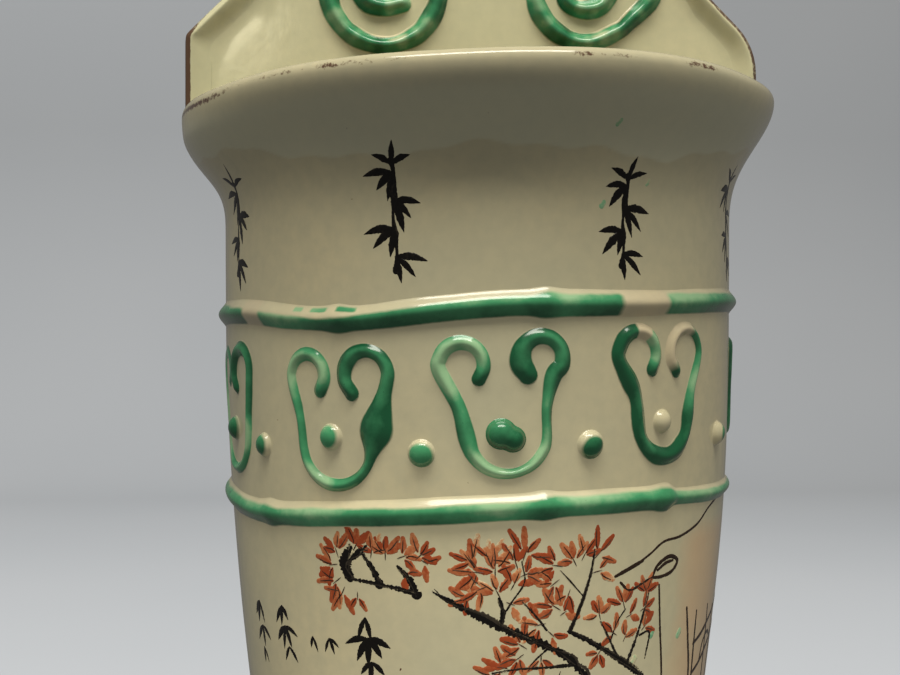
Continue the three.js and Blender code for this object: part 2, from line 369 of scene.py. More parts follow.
def specks(tree, scale, size, share):
    """Small dots, one in some of the cells of a random pattern: 1 in a dot and 0 elsewhere."""
    cells = add_node(tree, "TexVoronoi", {"Vector": position(tree), "Scale": scale})
    lot = add_node(tree, "SeparateColor", {"Color": cells.outputs["Color"]}).outputs[0]
    chosen = calculate(tree, "LESS_THAN", lot, share)
    ragged = calculate(tree, "MULTIPLY_ADD", noise(tree, 2600), size, size * 0.5)
    dot = calculate(tree, "LESS_THAN", cells.outputs["Distance"], ragged)
    return calculate(tree, "MULTIPLY", chosen, dot)


def surface(tree, colour, roughness, height, coat=0.25, bump_distance=0.00006, specular=0.5):
    """Finishes a material: glossy fired glaze with a clear top coat and a slightly uneven skin."""
    bumped = add_node(tree, "Bump", {"Height": height, "Distance": bump_distance, "Strength": 1.0})
    shader = add_node(tree, "BsdfPrincipled", {"Base Color": colour, "Roughness": roughness,
                                               "Normal": bumped.outputs["Normal"]})
    shader.inputs["IOR"].default_value = 1.52
    shader.inputs["Coat Weight"].default_value = coat
    shader.inputs["Coat Roughness"].default_value = 0.04
    shader.inputs["Specular IOR Level"].default_value = specular
    output = add_node(tree, "OutputMaterial")
    tree.links.new(shader.outputs["BSDF"], output.inputs["Surface"])


def glaze_skin(tree):
    """Height of the glaze's skin: broad ripples, fine orange peel."""
    return calculate(tree, "MULTIPLY_ADD", noise(tree, 800, 2), 0.12, noise(tree, 110, 2))


BROWN = (0.095, 0.037, 0.02)
BISCUIT = (0.56, 0.44, 0.31)


def body_colour(tree, cool, warm):
    """Ivory glaze that drifts between a cooler and a warmer tone, with fine mottling and iron specks."""
    drift = ramp(tree, noise(tree, 22, 3), (0.32, 0.0), (0.68, 1.0))
    tone = mix_colour(tree, drift, cool, warm)
    mottled = mix_colour(tree, ramp(tree, noise(tree, 420, 4), (0.35, 0.0), (0.75, 0.5)), tone,
                         tuple(0.9 * c for c in cool))
    dark = mix_colour(tree, specks(tree, 95, 0.036, 0.3), mottled, BROWN)
    faint = calculate(tree, "MULTIPLY", specks(tree, 210, 0.03, 0.06), 0.6)
    return mix_colour(tree, faint, dark, (0.2, 0.11, 0.05))


def with_worn_edge(tree, colour, raggedness):
    """Iron-brown line and chips where the glaze runs thin over an edge, from the attribute worn."""
    ragged = unevenness(tree, 900, 5, raggedness, 0.75)
    worn = ramp(tree, calculate(tree, "ADD", attribute(tree, "worn"), ragged), (0.5, 0.0), (0.72, 0.95))
    return mix_colour(tree, worn, colour, BROWN)


def with_biscuit(tree, colour):
    """Bare fired clay where the attribute bare is set."""
    grain = mix_colour(tree, noise(tree, 900, 4), BISCUIT, tuple(0.75 * c for c in BISCUIT))
    edge = unevenness(tree, 260, 3, 0.3)
    bare = ramp(tree, calculate(tree, "ADD", attribute(tree, "bare"), edge), (0.48, 0.0), (0.52, 1.0))
    return mix_colour(tree, bare, colour, grain), bare


ENAMEL_THIN = (0.29, 0.50, 0.27)
ENAMEL_MID = (0.06, 0.30, 0.13)
ENAMEL_DEEP = (0.008, 0.095, 0.036)
FLUSH_PINK = (0.72, 0.42, 0.30)


def with_enamel(tree, colour):
    """Copper-green enamel where the attribute green is set, paler or darker by the attribute pool."""
    mottle = unevenness(tree, 380, 3, 0.5, 0.6)
    depth = calculate(tree, "ADD", attribute(tree, "pool"), mottle)
    green = ramp(tree, depth, (0.0, ENAMEL_THIN), (0.38, ENAMEL_MID), (0.95, ENAMEL_DEEP))
    fleck = mix_colour(tree, specks(tree, 700, 0.05, 0.12), green, tuple(0.3 * c for c in ENAMEL_DEEP))
    ragged = unevenness(tree, 700, 3, 0.3)
    cover = ramp(tree, calculate(tree, "ADD", attribute(tree, "green"), ragged), (0.12, 0.0), (0.88, 1.0))
    flush = calculate(tree, "MULTIPLY", attribute(tree, "flush"), 0.5)
    return mix_colour(tree, cover, mix_colour(tree, flush, colour, FLUSH_PINK), fleck)


def glossy(tree, extra=None, least=0.07):
    """The glaze's roughness, with extra where the clay is bare."""
    low = calculate(tree, "MULTIPLY_ADD", noise(tree, 60, 3), 0.10, least)
    return low if extra is None else calculate(tree, "MULTIPLY_ADD", extra, 0.6, low)


IVORY_COOL = (0.55, 0.515, 0.345)
IVORY_WARM = (0.64, 0.565, 0.352)
CREST_COOL = (0.70, 0.68, 0.43)
CREST_WARM = (0.78, 0.715, 0.45)
PEACH = (0.70, 0.45, 0.25)
REFLECTION_GREY = (0.68, 0.69, 0.52)


def wall_material():
    """The ivory wall, with a peach stain, a painted grey reflection on the flare, worn edges and a bare foot.
    """
    material, tree = new_material("body_glaze")
    colour = body_colour(tree, IVORY_COOL, IVORY_WARM)
    soft = unevenness(tree, 70, 4, 0.9)
    wash = ramp(tree, calculate(tree, "ADD", attribute(tree, "wash"), soft), (0.3, 0.0), (1.1, 0.6))
    colour = mix_colour(tree, wash, colour, PEACH)
    # painted reflection: the flare is greyed and lightened as if it mirrored the room
    colour = mix_colour(tree, calculate(tree, "MULTIPLY", attribute(tree, "painted_reflection"), 0.5), colour, REFLECTION_GREY)
    colour, bare = with_biscuit(tree, with_worn_edge(tree, colour, 1.5))
    surface(tree, colour, glossy(tree, bare), glaze_skin(tree))
    return material


def crest_material():
    """The yellower glaze of the plate and the crest's border."""
    material, tree = new_material("crest_glaze")
    colour = with_worn_edge(tree, body_colour(tree, CREST_COOL, CREST_WARM), 0.8)
    colour, bare = with_biscuit(tree, colour)
    surface(tree, colour, glossy(tree, bare), glaze_skin(tree))
    return material


def relief_material(name, cool, warm):
    """Ivory glaze over a coil or bead, with green enamel brushed on top."""
    material, tree = new_material(name)
    colour = with_enamel(tree, body_colour(tree, cool, warm))
    surface(tree, colour, glossy(tree, least=0.13), glaze_skin(tree), coat=0.3)
    return material


def paint_material(name, thick, thin):
    """Overglaze paint: dense where the attribute load is high, thin and broken where the brush ran dry."""
    material, tree = new_material(name)
    grain = unevenness(tree, 1500, 4, 0.9, 0.7)
    load = calculate(tree, "ADD", attribute(tree, "load"), grain, clamp=True)
    colour = ramp(tree, load, (0.0, IVORY_WARM), (0.22, thin), (0.75, thick))
    surface(tree, colour, calculate(tree, "MULTIPLY_ADD", grain, 0.15, 0.22), noise(tree, 1200, 3), coat=0.0,
            bump_distance=0.00002, specular=0.22)
    return material


BODY = wall_material()
CREST = crest_material()
RELIEF = relief_material("green_enamel_on_body", IVORY_COOL, IVORY_WARM)
CREST_RELIEF = relief_material("green_enamel_on_crest", CREST_COOL, CREST_WARM)
INK = paint_material("black_ink", (0.007, 0.006, 0.005), (0.05, 0.04, 0.028))
BROWN_INK = paint_material("brown_line_ink", (0.028, 0.016, 0.01), (0.14, 0.085, 0.055))
IRON_RED = paint_material("iron_red_paint", (0.33, 0.062, 0.02), (0.56, 0.22, 0.09))
SPOT_GREEN = paint_material("spot_green_paint", (0.04, 0.30, 0.15), (0.35, 0.55, 0.32))


# ---- the pot's walls ----
WALL_COLUMNS = 241
LIP_WEAR_DROP = 1.6 * MM  # how far below the lip's top the glaze wears through
REFLECTION_EDGE_Z = 161.5 * MM  # above this the flare has a painted grey reflection
# Where the glaze is chipped off the lip, in degrees from the front, and how much.
LIP_CHIPS = [(-44.5, 0.8), (-39, 1), (-30, 1.5), (-24, 0.9), (-18, 0.8), (11, 1.3), (17, 1), (32, 1.4),
             (36, 1.3)]
END_OVERLAP = math.radians(0.6)  # the wall's ends run a little into the plate, as luted clay does


def front_wall():
    """The half-round wall: one closed section swept from end to end, with its wear, its stain and a painted
    reflection on the flare.
    """
    foot_round = 1.2 * MM
    angle = np.linspace(-np.pi / 2 - END_OVERLAP, np.pi / 2 + END_OVERLAP, WALL_COLUMNS)
    fine_from = 153 * MM
    heights = [*np.linspace(foot_round, fine_from, 130), *np.linspace(fine_from, LIP_CENTRE_Z, 60)[1:]]
    outer = [(z, 0.0) for z in heights]
    turn = np.linspace(0, np.pi, 15)[1:-1]
    lip = [(LIP_CENTRE_Z + LIP_RADIUS * math.sin(a), LIP_RADIUS * (1 - math.cos(a))) for a in turn]
    inner = [(z, WALL) for z in np.linspace(LIP_CENTRE_Z, foot_round, 90)]
    foot = [(0.3 * MM, WALL - 0.5 * MM), (0, WALL - foot_round), (0, foot_round), (0.3 * MM, 0.4 * MM)]
    rows = outer + lip + inner + foot
    z = np.array([row[0] for row in rows])[:, None] + 0 * angle[None, :]
    inset = np.array([row[1] for row in rows])[:, None]
    lifted = z + lip_lift(angle[None, :], z)
    radius = outer_radius(angle[None, :], z) - inset
    points = np.stack([radius * np.sin(angle), AXIS_Y - radius * np.cos(angle), lifted], -1).reshape(-1, 3)
    chips = sum(much * bump(np.degrees(angle), at, 3) for at, much in LIP_CHIPS)
    left_end = smoothstep(math.radians(-46), math.radians(-62), angle)
    edge_z = LIP_Z - LIP_WEAR_DROP - 0.9 * MM * left_end
    on_lip = np.exp(-(((z - edge_z) / (0.9 * MM)) ** 2)) * (inset < LIP_RADIUS * 1.4)
    worn = on_lip * (0.27 + 0.3 * np.clip(chips, 0, 1.4) + 0.5 * left_end)
    bare = z < 1.6 * MM
    degrees = np.degrees(angle)[None, :] + 0 * z
    # a peach stain shows through the glaze at the right of the painted panel
    wash = smoothstep(33, 50, degrees) * smoothstep(8 * MM, 30 * MM, z) * smoothstep(94 * MM, 86 * MM, z)
    wash = wash * (inset < WALL * 0.3)
    # painted reflection: above a wavy edge the outside of the flare is greyed and lightened as if it mirrored
    # the room
    reflection_edge = REFLECTION_EDGE_Z + (1.6 * wave(degrees / 100, 71, 11) + 4 * smoothstep(30, 75, np.abs(degrees))) * MM
    painted_reflection = smoothstep(-0.25 * MM, 0.3 * MM, z - reflection_edge) * (inset < WALL)
    painted_reflection = painted_reflection * smoothstep(LIP_Z - 3 * MM, LIP_Z - 8 * MM, z)
    values = {"worn": worn, "bare": bare, "wash": wash, "painted_reflection": painted_reflection}
    faces = section_faces(len(rows), len(angle))
    make_object("front_wall", points, faces, BODY, values, "front_shell")


def floor_slab():
    """The D-shaped floor inside the pot, its edges running into the walls."""
    angle = np.linspace(-np.pi / 2, np.pi / 2, 91)
    share = np.concatenate([np.linspace(0.02, 1, 24), np.linspace(1, 0.02, 24)])
    top = np.arange(len(share)) < 24
    radius = (wall_radius(0.0) - WALL + 0.3 * MM) * share
    dish = 0.5 * MM * smoothstep(1, 0.6, share)
    z = np.where(top, slab_high.z - dish, 0.25 * MM + 0.15 * MM * smoothstep(1, 0.7, share))
    points = np.stack([radius[:, None] * np.sin(angle), AXIS_Y - radius[:, None] * np.cos(angle) + 0 * angle,
                       z[:, None] + 0 * angle], -1).reshape(-1, 3)
    faces = section_faces(len(share), len(angle), flip=True)
    bare = np.repeat(np.where(top, 0.0, 1.0), len(angle))
    make_object("floor_slab", points, faces, BODY, {"bare": bare}, "base_slab")


def between(first, last, count=14):
    """Evenly spaced points between two others."""
    return [tuple(point) for point in np.linspace(first, last, count)[1:-1]]


def plate_outline(inset=0.0):
    """The plate's outline as (x, z) points, anticlockwise from its right foot."""
    heights = np.concatenate([[0.0], np.linspace(TAPER_END, LIP_Z, 60)])
    side = [(wall_radius(z) - inset, z) for z in heights]
    lean = math.tan(math.pi / 8)
    half = MOUTH_RADIUS - inset
    corner_z = CHAMFER_SUM - MOUTH_RADIUS - inset * lean

    def shoulder(radius, start, end):
        radius = max(radius - inset, 1 * MM + 0.9 * inset)
        return arc((half - radius, corner_z - radius * lean), radius, start, end)

    dome_radius = DOME_RADIUS - inset
    dome_start = math.degrees(math.asin((DOME_FOOT_Z - DOME_CENTRE_Z - inset * lean) / dome_radius))
    shoulder_end = (SHOULDER_END_X, corner_z + half - SHOULDER_END_X)
    dome = arc((0, DOME_CENTRE_Z), dome_radius, dome_start, 180 - dome_start, 60)
    right = [*side, *shoulder(RIGHT_CORNER, 0, 45)]
    left = [*side, *shoulder(LEFT_CORNER, 0, 45)]
    right += [*between(right[-1], shoulder_end), shoulder_end]
    left += [*between(left[-1], shoulder_end), shoulder_end]
    return [*right, *dome, *[(-x, z) for x, z in left[::-1]]]


VOXEL = 0.85 * MM


def back_plate(mirrored):
    """The plate: its outline and hanging hole as an extruded curve, remeshed so that every edge rounds off.
    It joins the collection of pieces that mirror the small window."""
    curve = bpy.data.curves.new("plate_outline", "CURVE")
    curve.dimensions = "2D"
    curve.fill_mode = "BOTH"
    curve.extrude = (BACK_Y - AXIS_Y) / 2
    hole = arc((0, HOLE_Z), HOLE_RADIUS, 0, 350, 36)
    for points in (plate_outline(), hole):
        spline = curve.splines.new("POLY")
        spline.points.add(len(points) - 1)
        for point, (x, z) in zip(spline.points, points):
            point.co = (x, z, 0, 1)
        spline.use_cyclic_u = True
    drawn = bpy.data.objects.new("plate_outline", curve)
    bpy.context.scene.collection.objects.link(drawn)
    bpy.context.view_layer.update()
    flat = bpy.data.meshes.new_from_object(drawn.evaluated_get(bpy.context.evaluated_depsgraph_get()))
    bpy.data.objects.remove(drawn)
    co = np.array([v.co for v in flat.vertices])
    stood = np.stack([co[:, 0], (AXIS_Y + BACK_Y) / 2 - co[:, 2], co[:, 1]], -1)
    flat.vertices.foreach_set("co", stood.ravel())
    plate = bpy.data.objects.new("crested_back_plate", flat)
    bpy.context.scene.collection.objects.link(plate)
    remesh = plate.modifiers.new("even", "REMESH")
    remesh.mode = "VOXEL"
    remesh.voxel_size = VOXEL
    soften = plate.modifiers.new("soften", "SMOOTH")
    soften.factor = 0.5
    soften.iterations = 6
    bpy.context.view_layer.update()
    final = bpy.data.meshes.new_from_object(plate.evaluated_get(bpy.context.evaluated_depsgraph_get()))
    bpy.data.objects.remove(plate)
    co = np.array([v.co for v in final.vertices])
    x, y, z = co.T
    front = smoothstep(BACK_Y - 1 * MM, AXIS_Y + 1 * MM, y)
    y = np.minimum(y + front * (on_plate(x, z)[:, 1] - AXIS_Y), BACK_Y)
    inset = crest_inset(x, z)
    above = smoothstep(LIP_Z - 6 * MM, LIP_Z + 1 * MM, z)
    worn = above * smoothstep(AXIS_Y + 3.2 * MM, AXIS_Y + 1.6 * MM, y) * edge_wear(x, z, inset)
    bare = np.maximum(smoothstep(BACK_Y - 1.2 * MM, BACK_Y - 0.5 * MM, y), (z < 0.9 * MM) * 1.0)
    faces = [tuple(p.vertices) for p in final.polygons]
    points = np.stack([x, y, np.maximum(z, 0)], -1)
    values = {"worn": worn, "bare": bare}
    made = make_object("crested_back_plate", points, faces, CREST, values, "back_plate")
    mirrored.objects.link(made)


# ---- laid-on coils ----
def coil(node, path, half_width, rise, place, material, paint):
    """A coil that stands for a CAD node. paint(s, t) gives green, pool and flush at each point."""
    points, faces, s, t, reached = sweep(path, half_width, rise, place, coil_height, COIL_REACH, 25)
    green, pool, flush = paint(s, t)
    values = {"green": green * smoothstep(1.38, 1.16, reached), "pool": pool, "flush": flush}
    make_object(node + "_glazed", points, faces, material, values, node)


BAND_END = 88.5
BAND_HALF_WIDTH = 1.85 * MM
BAND_RISE = 1.5 * MM
# heights run evenly from the band's left end to its right one. The rest is by degrees from the front: the
# nodes, where the band thins, gaps in the enamel, pale stretches and dashes with their half widths, and how
# far up the coil the enamel reaches, in half widths of the band.
BANDS = {
    "upper_band": {
        "heights": [132.2, 132.6, 132.4, 131.2, 130.9, 132.4, 133.6, 133.7, 133.9, 134.5, 135, 135.1, 135.2],
        "nodes": [-33.8, 7], "thin_from": 100, "seed": 3,
        "gaps": [(-58.5, 3.3), (28.3, 5.8)], "pale": [(-48, 8), (11, 5), (38, 6)],
        "dashes": [(-43.5, 1.2), (-38.2, 2), (-31.7, 2.2)],
        "top": [(-90, 0.9), (-78, 0.9), (-68, 0.5), (-50, 0.2), (-38, -0.1), (-25, 0.45), (4, 0.6), (8, 0.9),
                (90, 0.85)],
    },
    "lower_band": {
        "heights": [94.6, 92.9, 94.6, 96.4, 96.8, 95.8, 96.2],
        "nodes": [-54, 7, 34.8], "thin_from": 36, "seed": 8,
        "gaps": [(86, 3)], "pale": [(-38, 9), (-2, 6), (13, 8), (50, 9)], "dashes": [],
        "top": [(-90, 0.9), (-60, 0.9), (-50, 0.6), (-30, 0.55), (5, 0.5), (9, 0.85), (33, 0.9), (38, 0.8),
                (90, 0.8)],
    },
}


def laid_band(name, shape):
    """A bamboo-like rib round the wall, thicker at its nodes, with green enamel brushed along it."""
    radius = float(wall_radius(shape["heights"][0] * MM))
    count = len(shape["heights"])
    marks = [(radius * math.radians(BAND_END * (2 * i / (count - 1) - 1)), z * MM)
             for i, z in enumerate(shape["heights"])]
    path = smooth_path(marks, 0.45 * MM)
    t = np.linspace(0, 1, len(path))
    degrees = BAND_END * (2 * t - 1)
    swelling = 1 + 0.18 * sum(bump(degrees, node, 2.6) for node in shape["nodes"])
    swelling = swelling + 0.06 * wave(t, shape["seed"], 14)
    swelling = swelling * (1 - 0.3 * smoothstep(shape["thin_from"], shape["thin_from"] + 3, degrees))
    half_width = BAND_HALF_WIDTH * swelling
    rise = BAND_RISE * swelling

    def place(across, z, out):
        return on_wall(across / radius, z, out)

    def paint(s, t):
        at = BAND_END * (2 * t - 1)
        gap = sum(smoothstep(wide + 1, wide - 1, np.abs(at - centre)) for centre, wide in shape["gaps"])
        pale = sum(bump(at, centre, wide) for centre, wide in shape["pale"])
        top = np.interp(at, *zip(*shape["top"])) + 0.12 * wave(t, shape["seed"] + 1, 30)
        green = (1 - np.clip(gap, 0, 1)) * smoothstep(top + 0.3, top - 0.25, s)
        dash = sum(smoothstep(1.2 * wide, 0.8 * wide, np.abs(at - mid)) for mid, wide in shape["dashes"])
        green = np.maximum(green, dash * smoothstep(0.55, 0.75, s) * smoothstep(1.25, 1.0, s))
        pool = 0.5 - 0.35 * pale - 0.35 * s + 0.2 * wave(t, shape["seed"] + 2, 25)
        pool = pool + 0.35 * sum(bump(at, n, 3) for n in shape["nodes"])
        return green, pool, 0.2 * np.clip(gap, 0, 1) + 0 * s

    coil(name, path, half_width, rise, place, RELIEF, paint)


SCROLL_HALF_WIDTH = 1.12 * MM
SCROLL_RISE = 0.9 * MM
# Each scroll's centre is an angle and a height. left and right are its hooks and bowl the arc under them, as
# across, up and radius from the centre in millimetres; waist has its two narrowest points. The right hook
# starts at right_from, in degrees. fat, slim, pale and gaps are places along the coil, from 0 to 1, with how
# much thicker or thinner it is there, or how long the pale stretch or the gap in the enamel is. Up to
# low_until the coil is pressed flat.
SCROLLS = [
    {
        "angle": -71, "z": 113.2, "left": (-7.4, 7.4, 3.8), "right": (4.9, 7.4, 4.6), "right_from": -15,
        "waist": [(-8.6, 0), (8.8, 0)], "bowl": (0.6, -5.2, 7.5), "low_until": 0.42,
        "fat": [(0.92, 0.25)], "slim": [], "pool": 0.55, "pale": [(0.3, 0.2), (0.62, 0.05)], "gaps": [],
    },
    {
        "angle": -34.6, "z": 112.5, "left": (-6.8, 7.6, 4.2), "right": (6.5, 8, 4.5), "right_from": -20,
        "waist": [(-8.7, 0), (8.6, -1.5)], "bowl": (-0.2, -5.1, 7.7),
        "fat": [(0.655, 1.45), (0.7, 0.6), (0.93, 0.2)], "slim": [(0.3, 0.12), (0.59, 0.3)],
        "pool": 0.45, "pale": [(0.04, 0.05), (0.19, 0.06), (0.45, 0.04)], "gaps": [],
    },
    {
        "angle": -1.7, "z": 114.8, "left": (-7.2, 7.6, 4.1), "right": (7.6, 8.9, 4), "right_from": -58,
        "waist": [(-7.7, 0), (8.6, 0)], "bowl": (1.3, -4.8, 7.4),
        "fat": [(0.97, 0.5), (0.76, 0.3), (0.36, 0.2)], "slim": [(0.67, 0.28), (0.5, 0.15)],
        "pool": 0.42, "pale": [(0.06, 0.04), (0.2, 0.1), (0.42, 0.08), (0.58, 0.06)], "gaps": [],
    },
    {
        "angle": 34.1, "z": 116.8, "left": (-7, 7.4, 4.5), "right": (6.2, 7.8, 4.6), "right_from": -20,
        "waist": [(-7.8, 0), (8.2, 0)], "bowl": (0.3, -5.1, 7.0),
        "fat": [(0.17, 0.2), (0.27, 0.45), (0.36, 0.35), (0.47, 0.45), (0.55, 0.6), (0.63, 0.6)],
        "slim": [(0.8, 0.2)], "pool": 0.55, "pale": [(0.02, 0.02), (0.08, 0.03), (0.72, 0.06)],
        "gaps": [(0.105, 0.02), (0.915, 0.07)],
    },
    {
        "angle": 81, "z": 116.6, "left": (-3.8, 7.6, 2.1), "right": (3.8, 7.6, 2.1), "right_from": -15,
        "waist": [(-4.2, 0), (4.2, 0)], "bowl": (0, -6, 3.8),
        "fat": [(0.3, 0.1)], "slim": [(0.3, 0.3), (0.7, 0.3)], "pool": 0.6, "pale": [(0.5, 0.08)], "gaps": [],
    },
]


def laid_scroll(number, shape):
    """A ruyi-like scroll: two hooks turned inward at the top of a bowl."""
    def hook(key, start, end, count=8):
        x, z, radius = shape[key]
        return arc((x * MM, (shape["z"] + z) * MM), radius * MM, start, end, count)

    waist_left, waist_right = [(x * MM, (shape["z"] + z) * MM) for x, z in shape["waist"]]
    marks = [*hook("left", -38, 195), waist_left, *hook("bowl", 190, 350), waist_right,
             *hook("right", shape["right_from"], 230)]
    path = smooth_path(marks, 0.3 * MM)
    t = np.linspace(0, 1, len(path))
    seed = 20 + number
    fat = 1 + sum(much * bump(t, at, 0.04) for at, much in shape["fat"]) + 0.1 * wave(t, seed, 11)
    fat = fat - sum(much * bump(t, at, 0.07) for at, much in shape["slim"])
    half_width = SCROLL_HALF_WIDTH * fat * (1 - 0.15 * bump(t, 0.5, 0.2))
    pressed_flat = smoothstep(0.06, -0.06, t - shape.get("low_until", -1))
    rise = SCROLL_RISE * (0.6 + 0.4 * fat) * (1 - 0.65 * pressed_flat)
    centre = math.radians(shape["angle"])

    def place(across, z, out):
        return on_wall(centre + across / wall_radius(z), z, out)

    def paint(s, t):
        gap = sum(smoothstep(1.25 * wide, 0.75 * wide, np.abs(t - at)) for at, wide in shape["gaps"])
        green = (1 - np.clip(gap, 0, 1)) * smoothstep(1.5, 1.2, np.abs(s - 0.1 * wave(t, seed + 1, 20)))
        pale = sum(bump(t, at, wide) for at, wide in shape["pale"])
        wet = 0.4 * (bump(t, 0, 0.02) + bump(t, 1, 0.02))
        wet = wet + 0.35 * sum(bump(t, at, 0.05) for at, _ in shape["fat"])
        pool = shape["pool"] - 0.55 * pale + wet + 0.22 * wave(t, seed + 2, 22) + 0.25 * s**2 - 0.1 * s
        return green, pool, 0.25 * np.clip(gap, 0, 1) + 0 * s

    coil(f"scroll_{number}", path, half_width, rise, place, RELIEF, paint)


SPIRAL_HALF_WIDTH = 1.72 * MM
SPIRAL_RISE = 2.0 * MM
SPIRALS = {
    "crest_spiral_left": {
        "x": -21, "z": 205.6, "hand": -1, "seed": 41,
        "marks": [(217, 5.2), (270, 3.9), (330, 4.7), (390, 7), (450, 9.6), (510, 11.8), (550, 12.4),
                  (590, 12.5), (630, 12.6), (670, 12.5), (710, 12.4), (750, 12.2)],
    },
    "crest_spiral_right": {
        "x": 24.9, "z": 206.2, "hand": 1, "seed": 52,
        "marks": [(150, 5.6), (210, 4.9), (270, 4.2), (330, 5), (390, 7), (450, 9.2), (510, 11),
                  (550, 11.6), (590, 11.5), (630, 11.8), (670, 11.6), (688, 12.2), (710, 14.6), (724, 16)],
    },
}


def laid_spiral(name, shape):
    """A green spiral coil on the crest, given as marks of turn in degrees and radius in millimetres."""
    turn = np.radians([mark[0] for mark in shape["marks"]])
    radius = np.array([mark[1] for mark in shape["marks"]]) * MM
    marks = np.stack([shape["x"] * MM + shape["hand"] * radius * np.cos(turn),
                      shape["z"] * MM + radius * np.sin(turn)], -1)
    path = smooth_path(marks, 0.35 * MM)
    t = np.linspace(0, 1, len(path))
    seed = shape["seed"]
    fat = 1 + 0.13 * wave(t, seed, 16)

    def paint(s, t):
        pool = 0.3 + 0.45 * wave(t, seed + 1, 30) + 0.3 * s**2
        thin_patch = smoothstep(0.3, 0.9, wave(t, seed + 5, 13)) * bump(s, shape["hand"] * 0.5, 0.35)
        inner_edge = smoothstep(0.85, 1.3, shape["hand"] * s) * smoothstep(-0.4, 0.5, wave(t, seed + 6, 14))
        bare = np.clip(0.55 * thin_patch + inner_edge, 0, 1)
        return (1 - bare) + 0 * s, pool, 0.3 * bare

    coil(name, path, SPIRAL_HALF_WIDTH * fat, SPIRAL_RISE * fat, on_plate, CREST_RELIEF, paint)


BORDER_REACH = 6.0 * MM  # how far in from the crest's edge the border's inner slope runs
BORDER_RISE = 1.5 * MM
BORDER_FOOT_Z = 172 * MM


def edge_wear(x, z, inset):
    """How far the glaze has drawn back from the crest's edge: most on its left upright side, least on its
    left shoulder."""
    upright = smoothstep(CHAMFER_SUM - MOUTH_RADIUS + 5 * MM, CHAMFER_SUM - MOUTH_RADIUS - 2 * MM, z)
    right = smoothstep(-30 * MM, 40 * MM, x)
    left_upright = upright * (x < 0)
    share = 0.52 + 0.4 * left_upright + 0.2 * right
    reach = (0.6 + 0.8 * left_upright + 0.8 * right) * MM
    return share * smoothstep(reach + 0.5 * MM, reach - 0.3 * MM, inset)


def laid_border():
    """The raised rim round the crest: steep at the crest's edge, with a long soft slope inside it."""
    insets = np.concatenate([np.linspace(0.35, 3.4, 14), np.linspace(3.7, BORDER_REACH / MM, 10)]) * MM
    lines = np.array([plate_outline(inset) for inset in insets])
    kept = lines[0, :, 1] > BORDER_FOOT_Z
    lines = lines[:, kept]
    along = np.linspace(0, 1, lines.shape[1])
    x, z = lines[..., 0], lines[..., 1]
    inset = insets[:, None] + 0 * x
    outer_side = smoothstep(0, 1.7 * MM, inset)
    inner_side = smoothstep(BORDER_REACH, 1.2 * MM, inset) ** 1.2
    uneven = 1 + 0.12 * wave(along, 61, 20)
    corner_z = CHAMFER_SUM - MOUTH_RADIUS
    foot = smoothstep(BORDER_FOOT_Z, LIP_Z + 8 * MM, z)
    low_side = np.where(x < 0, 0.6, 0.25) * smoothstep(corner_z + 6 * MM, corner_z - 4 * MM, z)
    height = BORDER_RISE * uneven * (0.25 + 0.75 * foot) * (1 - low_side) * outer_side * inner_side
    height = height - 0.015 * MM
    top = on_plate(x, z, height)
    under = on_plate(x, z, -0.35 * MM + 0 * z)
    rows, columns = x.shape
    points = np.concatenate([top.reshape(-1, 3), under[::-1].reshape(-1, 3)])
    faces = section_faces(2 * rows, columns, flip=True)
    worn = edge_wear(x, z, inset) * smoothstep(LIP_Z - 6 * MM, LIP_Z + 1 * MM, z)
    values = {"worn": np.concatenate([worn, 0 * worn])}
    make_object("crest_border_glazed", points, faces, CREST, values, "crest_border")


# ---- beads ----
SCROLL_BEADS = [
    {"angle": -71, "z": 108.7, "radius": 2.4, "green": (0.0, 0.0, 1.0), "pool": 0.85},
    {"angle": -35.8, "z": 108.7, "radius": 2.4, "green": (-0.15, 0.05, 0.9), "pool": 0.45},
    {"angle": -0.7, "z": 109.5, "radius": 3.2, "green": (0.0, 0.0, 1.3), "pool": 0.85,
     "twin": (0.42, -0.2, 0.68)},
    {"angle": 33.5, "z": 111.4, "radius": 2.2, "green": (0.0, 0.0, 0.0), "pool": 0.2},
    {"angle": 81, "z": 111.5, "radius": 1.8, "green": (0.1, -0.1, 0.9), "pool": 0.6},
]
SPACER_BEADS = [
    {"angle": -55.6, "z": 106.2, "radius": 2.3, "green": (-0.15, 0.0, 0.9), "pool": 0.75},
    {"angle": -16.8, "z": 106.3, "radius": 2.4, "green": (0.0, -0.2, 0.95), "pool": 0.45},
    {"angle": 16.2, "z": 107.7, "radius": 2.5, "green": (0.1, -0.25, 0.9), "pool": 0.9},
    {"angle": 56.6, "z": 107.9, "radius": 2.4, "green": (0.4, 0.0, 0.75), "pool": 0.6},
]
BEAD_FLATNESS = 0.72


def bead(node, shape):
    """A clay bead pressed on the wall. green is its enamel spot: across, up and radius, in bead radii."""
    rings, sides = 22, 48
    radius = shape["radius"] * MM
    share = COIL_REACH * np.linspace(0.015, 1, rings)[:, None]
    turn = np.linspace(0, 2 * np.pi, sides, endpoint=False)[None, :]
    right, up = share * np.cos(turn), share * np.sin(turn)
    dome = bead_dome(share) + 0 * turn
    if "twin" in shape:
        twin_x, twin_z, twin_size = shape["twin"]
        main = bead_dome(np.hypot(right + 0.25, up - 0.12) / 0.82)
        dome = smooth_maximum(main, 0.9 * bead_dome(np.hypot(right - twin_x, up - twin_z) / twin_size), 0.5)
    height = smooth_maximum(dome, UNDER, 0.5)
    z = shape["z"] * MM + up * radius
    angle = math.radians(shape["angle"]) + right * radius / wall_radius(z)
    points = on_wall(angle, z, height * radius * BEAD_FLATNESS).reshape(-1, 3)
    spot_x, spot_z, spot_size = shape["green"]
    from_spot = np.hypot(right - spot_x, up - spot_z)
    green = smoothstep(spot_size + 0.2, spot_size - 0.2, from_spot) if spot_size else 0 * from_spot
    pool = shape["pool"] - 0.25 * up + 0.1 * right
    values = {"green": green, "pool": pool}
    make_object(node + "_glazed", points, ringed_faces(rings, sides), RELIEF, values, node)


